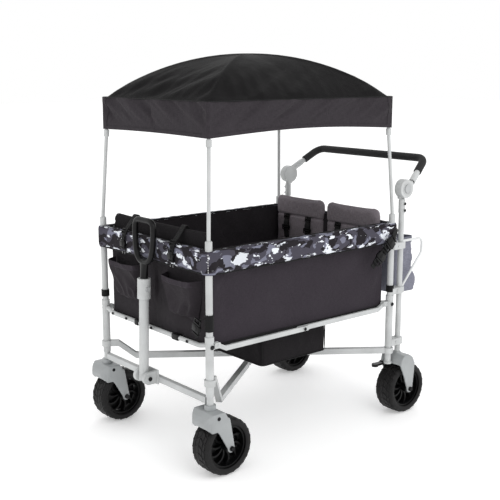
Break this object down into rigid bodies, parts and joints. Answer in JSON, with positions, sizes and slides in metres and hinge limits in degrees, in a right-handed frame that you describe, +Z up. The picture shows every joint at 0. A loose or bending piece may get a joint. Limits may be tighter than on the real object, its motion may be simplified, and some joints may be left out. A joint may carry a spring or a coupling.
{
  "type": "children's folding pull wagon",
  "caption": "Folding four-wheel children's wagon with swivel front casters, pull and push handles, padded bumper, facing seats, footwell, rear bag and a lift-off canopy.",
  "frame": {"origin": "on the ground, under the middle of the whole wagon's bounding box", "axes": "+Z up, -Y to the front where the pull handle is, +X to the wagon's left side"},
  "size_m": [0.778, 1.1924, 1.4169],
  "materials": {
    "frame_steel": "satin light grey paint",
    "frame_alloy": "satin light grey paint",
    "grey_plastic": "moulded grey",
    "fork_paint": "satin mid grey",
    "black_plastic": "moulded black",
    "tyre_rubber": "matt",
    "axle_steel": "dark bolts",
    "foam": "soft foam",
    "camo_fabric": "printed woven",
    "charcoal_fabric": "woven",
    "pad_fabric": "padded woven",
    "bag_fabric": "woven slate",
    "wire": "white coated wire",
    "pole": "grey pole"
  },
  "bodies": {
    "rear_frame": {"rear_legs": "frame_steel", "rear_leg_sleeves": "frame_steel", "push_posts": "frame_steel", "rear_leg_clamps": "grey_plastic", "rear_rails": "frame_steel", "rear_forks": "fork_paint", "rear_axles": "axle_steel", "canopy_sockets_rear": "grey_plastic", "push_hub_bases": "grey_plastic", "fabric_tub": "charcoal_fabric", "bumper_cover": "camo_fabric", "seat_backs_rear": "pad_fabric", "bench_rear": "pad_fabric", "footwell_basket": "charcoal_fabric", "rear_bag": "bag_fabric", "bag_hoops": "wire"},
    "front_frame": {"front_legs": "frame_steel", "front_leg_sleeves": "frame_steel", "bearing_cups": "grey_plastic", "front_rails": "frame_steel", "front_cross_tube": "frame_steel", "pull_pivot_bracket": "fork_paint", "canopy_sockets_front": "grey_plastic", "front_back_panel": "pad_fabric", "bench_front": "pad_fabric", "front_pockets": "charcoal_fabric"},
    "push_handle": {"push_handle_tube": "frame_steel", "push_hub_caps": "grey_plastic", "push_grip": "foam"},
    "push_button_left": {"push_button_left": "grey_plastic"},
    "push_button_right": {"push_button_right": "grey_plastic"},
    "pull_handle": {"pull_tube": "frame_steel", "pull_collar": "grey_plastic"},
    "pull_slider": {"pull_grip": "black_plastic"},
    "pull_button": {"pull_button": "black_plastic"},
    "side_rails_front": {"side_rails_front": "frame_alloy"},
    "side_rails_rear": {"side_rails_rear": "frame_alloy"},
    "brace_front_right": {"brace_front_right": "frame_steel"},
    "brace_rear_left": {"brace_rear_left": "frame_steel"},
    "brace_front_left": {"brace_front_left": "frame_steel"},
    "brace_rear_right": {"brace_rear_right": "frame_steel"},
    "canopy_rear": {"canopy_posts_rear": "pole", "canopy_arches": "pole", "canopy_roof": "charcoal_fabric"},
    "canopy_front": {"canopy_posts_front": "pole"},
    "brake_left": {"brake_pedal_left": "fork_paint"},
    "brake_right": {"brake_pedal_right": "fork_paint"},
    "caster_left": {"front_fork_left": "fork_paint", "front_axle_left": "axle_steel"},
    "front_wheel_left": {"front_tyre_left": "tyre_rubber", "front_rim_left": "black_plastic"},
    "rear_wheel_left": {"rear_tyre_left": "tyre_rubber", "rear_rim_left": "black_plastic"},
    "caster_right": {"front_fork_right": "fork_paint", "front_axle_right": "axle_steel"},
    "front_wheel_right": {"front_tyre_right": "tyre_rubber", "front_rim_right": "black_plastic"},
    "rear_wheel_right": {"rear_tyre_right": "tyre_rubber", "rear_rim_right": "black_plastic"}
  },
  "joints": [
    {"name": "fold", "type": "slide", "parent": "rear_frame", "child": "front_frame", "axis": [0, 1, 0], "range_m": [0, 0.42], "deforming": ["fabric_tub", "bumper_cover", "footwell_basket", "canopy_roof", "canopy_arches"]},
    {"name": "side_rails_front_swing", "type": "hinge", "parent": "front_frame", "child": "side_rails_front", "pos_m": [0, -0.49725, 0.458], "axis": [1, 0, 0], "range_deg": [0, 48.2]},
    {"name": "side_rails_rear_swing", "type": "hinge", "parent": "rear_frame", "child": "side_rails_rear", "pos_m": [0, 0.33475, 0.458], "axis": [1, 0, 0], "range_deg": [-44.2, 0]},
    {"name": "brace_front_right_swing", "type": "hinge", "parent": "front_frame", "child": "brace_front_right", "pos_m": [-0.328, -0.52625, 0.3], "axis": [0, 0, 1], "range_deg": [-28.6, 0]},
    {"name": "brace_rear_left_swing", "type": "hinge", "parent": "rear_frame", "child": "brace_rear_left", "pos_m": [0.328, 0.36375, 0.3], "axis": [0, 0, 1], "range_deg": [-28.6, 0]},
    {"name": "brace_front_left_swing", "type": "hinge", "parent": "front_frame", "child": "brace_front_left", "pos_m": [0.328, -0.52625, 0.3], "axis": [0, 0, 1], "range_deg": [0, 28.6]},
    {"name": "brace_rear_right_swing", "type": "hinge", "parent": "rear_frame", "child": "brace_rear_right", "pos_m": [-0.328, 0.36375, 0.3], "axis": [0, 0, 1], "range_deg": [0, 28.6]},
    {"name": "canopy_lift", "type": "slide", "parent": "rear_frame", "child": "canopy_rear", "axis": [0, 0, 1], "range_m": [0, 0.15]},
    {"name": "canopy_lift_front", "type": "slide", "parent": "front_frame", "child": "canopy_front", "axis": [0, 0, 1], "range_m": [0, 0.15]},
    {"name": "push_tilt", "type": "hinge", "parent": "rear_frame", "child": "push_handle", "pos_m": [0, 0.42475, 0.906], "axis": [1, 0, 0], "range_deg": [-80, 45]},
    {"name": "push_button_left_press", "type": "slide", "parent": "push_handle", "child": "push_button_left", "axis": [-1, 0, 0], "range_m": [0, 0.0028], "stiffness_N_per_m": 400, "springref_m": -0.002},
    {"name": "brake_left_step", "type": "hinge", "parent": "rear_frame", "child": "brake_left", "pos_m": [0.298, 0.36875, 0.206], "axis": [1, 0, 0], "range_deg": [0, 14]},
    {"name": "caster_left_swivel", "type": "hinge", "parent": "front_frame", "child": "caster_left", "pos_m": [0.328, -0.52625, 0.245], "axis": [0, 0, 1], "continuous": true},
    {"name": "front_wheel_left_spin", "type": "hinge", "parent": "caster_left", "child": "front_wheel_left", "pos_m": [0.328, -0.47725, 0.101], "axis": [1, 0, 0], "continuous": true},
    {"name": "rear_wheel_left_spin", "type": "hinge", "parent": "rear_frame", "child": "rear_wheel_left", "pos_m": [0.328, 0.43975, 0.101], "axis": [1, 0, 0], "continuous": true},
    {"name": "push_button_right_press", "type": "slide", "parent": "push_handle", "child": "push_button_right", "axis": [1, 0, 0], "range_m": [0, 0.0028], "stiffness_N_per_m": 400, "springref_m": -0.002},
    {"name": "brake_right_step", "type": "hinge", "parent": "rear_frame", "child": "brake_right", "pos_m": [-0.298, 0.36875, 0.206], "axis": [1, 0, 0], "range_deg": [0, 14]},
    {"name": "caster_right_swivel", "type": "hinge", "parent": "front_frame", "child": "caster_right", "pos_m": [-0.328, -0.52625, 0.245], "axis": [0, 0, 1], "continuous": true},
    {"name": "front_wheel_right_spin", "type": "hinge", "parent": "caster_right", "child": "front_wheel_right", "pos_m": [-0.328, -0.47725, 0.101], "axis": [1, 0, 0], "continuous": true},
    {"name": "rear_wheel_right_spin", "type": "hinge", "parent": "rear_frame", "child": "rear_wheel_right", "pos_m": [-0.328, 0.43975, 0.101], "axis": [1, 0, 0], "continuous": true},
    {"name": "pull_tilt", "type": "hinge", "parent": "front_frame", "child": "pull_handle", "pos_m": [0, -0.57325, 0.277], "axis": [1, 0, 0], "range_deg": [0, 95]},
    {"name": "pull_extend", "type": "slide", "parent": "pull_handle", "child": "pull_slider", "axis": [0, 0.0279, 0.9996], "range_m": [0, 0.3]},
    {"name": "pull_button_press", "type": "slide", "parent": "pull_handle", "child": "pull_button", "axis": [-1, 0, 0], "range_m": [0, 0.0025], "stiffness_N_per_m": 400, "springref_m": -0.002}
  ],
  "couplings": [
    {"joint": "side_rails_front_swing", "follows": "fold", "rad_per_m": 1.9947},
    {"joint": "side_rails_rear_swing", "follows": "fold", "rad_per_m": -1.8284},
    {"joint": "brace_front_right_swing", "follows": "fold", "rad_per_m": -1.1802},
    {"joint": "brace_rear_left_swing", "follows": "fold", "rad_per_m": -1.1802},
    {"joint": "brace_front_left_swing", "follows": "fold", "rad_per_m": 1.1802},
    {"joint": "brace_rear_right_swing", "follows": "fold", "rad_per_m": 1.1802},
    {"joint": "canopy_lift_front", "follows": "canopy_lift", "ratio": 1}
  ]
}
